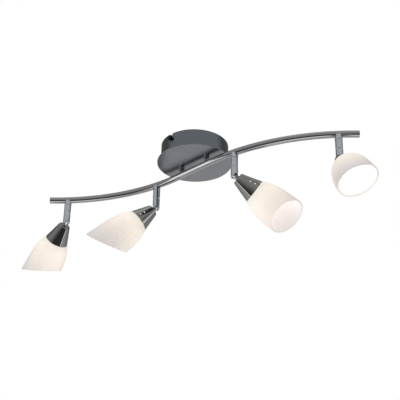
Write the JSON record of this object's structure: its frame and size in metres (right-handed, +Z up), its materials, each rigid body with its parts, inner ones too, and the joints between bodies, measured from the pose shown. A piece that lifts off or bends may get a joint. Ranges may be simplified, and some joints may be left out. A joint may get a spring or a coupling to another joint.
{
  "type": "ceiling spot bar",
  "caption": "Ceiling spot bar: a round canopy carries an S-shaped tube with swivelling, tilting conical lamp holders and slant-cut opal glass shades.",
  "frame": {"origin": "centre of the canopy's open rim, on the ceiling", "axes": "+Z up out of the ceiling bracket, +X along the chord of the S-shaped tube"},
  "size_m": [0.7373, 0.2096, 0.1899],
  "materials": {
    "canopy_nickel": "satin nickel plate on pressed steel",
    "satin_nickel": "satin nickel plate on steel tube",
    "polished_nickel": "polished nickel plate on spun steel",
    "zinc_steel": "zinc plated steel",
    "dark_steel": "blackened steel screws",
    "brass": "plain brass",
    "white_plastic": "white moulded plastic",
    "lead_sleeve": "insulated leads",
    "socket_ceramic": "unglazed steatite",
    "bulb_glass": "frosted capsule bulb, lit",
    "opal_glass": "opal glass, satin outside"
  },
  "bodies": {
    "canopy_and_bar": {"canopy_cup": "canopy_nickel", "canopy_plate": "canopy_nickel", "ceiling_bracket": "zinc_steel", "side_screws": "dark_steel", "earth_screw": "brass", "terminal_block": "white_plastic", "terminal_screws": "brass", "hanger_studs": "zinc_steel", "hanger_washers": "zinc_steel", "hanger_nuts": "zinc_steel", "spacer_left": "satin_nickel", "spacer_right": "satin_nickel", "bar_tube": "satin_nickel", "bar_leads": "lead_sleeve", "end_plug_left": "satin_nickel", "end_plug_right": "satin_nickel", "stem_mount_1": "satin_nickel", "stem_mount_2": "satin_nickel", "stem_mount_3": "satin_nickel", "stem_mount_4": "satin_nickel"},
    "arm_1": {"stem_1": "satin_nickel", "grub_screw_1": "satin_nickel", "pivot_screw_1": "dark_steel"},
    "head_1": {"knuckle_tongue_1": "satin_nickel", "cone_holder_1": "polished_nickel", "lamp_socket_1": "socket_ceramic", "bulb_1": "bulb_glass", "glass_shade_1": "opal_glass", "retaining_ring_1": "white_plastic"},
    "arm_2": {"stem_2": "satin_nickel", "grub_screw_2": "satin_nickel", "pivot_screw_2": "dark_steel"},
    "head_2": {"knuckle_tongue_2": "satin_nickel", "cone_holder_2": "polished_nickel", "lamp_socket_2": "socket_ceramic", "bulb_2": "bulb_glass", "glass_shade_2": "opal_glass", "retaining_ring_2": "white_plastic"},
    "arm_3": {"stem_3": "satin_nickel", "grub_screw_3": "satin_nickel", "pivot_screw_3": "dark_steel"},
    "head_3": {"knuckle_tongue_3": "satin_nickel", "cone_holder_3": "polished_nickel", "lamp_socket_3": "socket_ceramic", "bulb_3": "bulb_glass", "glass_shade_3": "opal_glass", "retaining_ring_3": "white_plastic"},
    "arm_4": {"stem_4": "satin_nickel", "grub_screw_4": "satin_nickel", "pivot_screw_4": "dark_steel"},
    "head_4": {"knuckle_tongue_4": "satin_nickel", "cone_holder_4": "polished_nickel", "lamp_socket_4": "socket_ceramic", "bulb_4": "bulb_glass", "glass_shade_4": "opal_glass", "retaining_ring_4": "white_plastic"}
  },
  "joints": [
    {"name": "swivel_1", "type": "hinge", "parent": "canopy_and_bar", "child": "arm_1", "pos_m": [-0.27092, 0.01307, -0.047], "axis": [0, 0, 1], "range_deg": [-121, 149]},
    {"name": "tilt_1", "type": "hinge", "parent": "arm_1", "child": "head_1", "pos_m": [-0.27092, 0.01307, -0.0936], "axis": [0.515, 0.8572, 0], "range_deg": [-54.5, 35.5]},
    {"name": "swivel_2", "type": "hinge", "parent": "canopy_and_bar", "child": "arm_2", "pos_m": [-0.08849, 0.02656, -0.047], "axis": [0, 0, 1], "range_deg": [-180, 90]},
    {"name": "tilt_2", "type": "hinge", "parent": "arm_2", "child": "head_2", "pos_m": [-0.08849, 0.02656, -0.0936], "axis": [-0.454, 0.891, 0], "range_deg": [-48.5, 41.5]},
    {"name": "swivel_3", "type": "hinge", "parent": "canopy_and_bar", "child": "arm_3", "pos_m": [0.08849, -0.02656, -0.047], "axis": [0, 0, 1], "range_deg": [-198, 72]},
    {"name": "tilt_3", "type": "hinge", "parent": "arm_3", "child": "head_3", "pos_m": [0.08849, -0.02656, -0.0936], "axis": [0.6947, -0.7193, 0], "range_deg": [-58, 32]},
    {"name": "swivel_4", "type": "hinge", "parent": "canopy_and_bar", "child": "arm_4", "pos_m": [0.27092, -0.01307, -0.047], "axis": [0, 0, 1], "range_deg": [-76, 194]},
    {"name": "tilt_4", "type": "hinge", "parent": "arm_4", "child": "head_4", "pos_m": [0.27092, -0.01307, -0.0936], "axis": [-0.8192, -0.5736, 0], "range_deg": [-42, 48]}
  ]
}
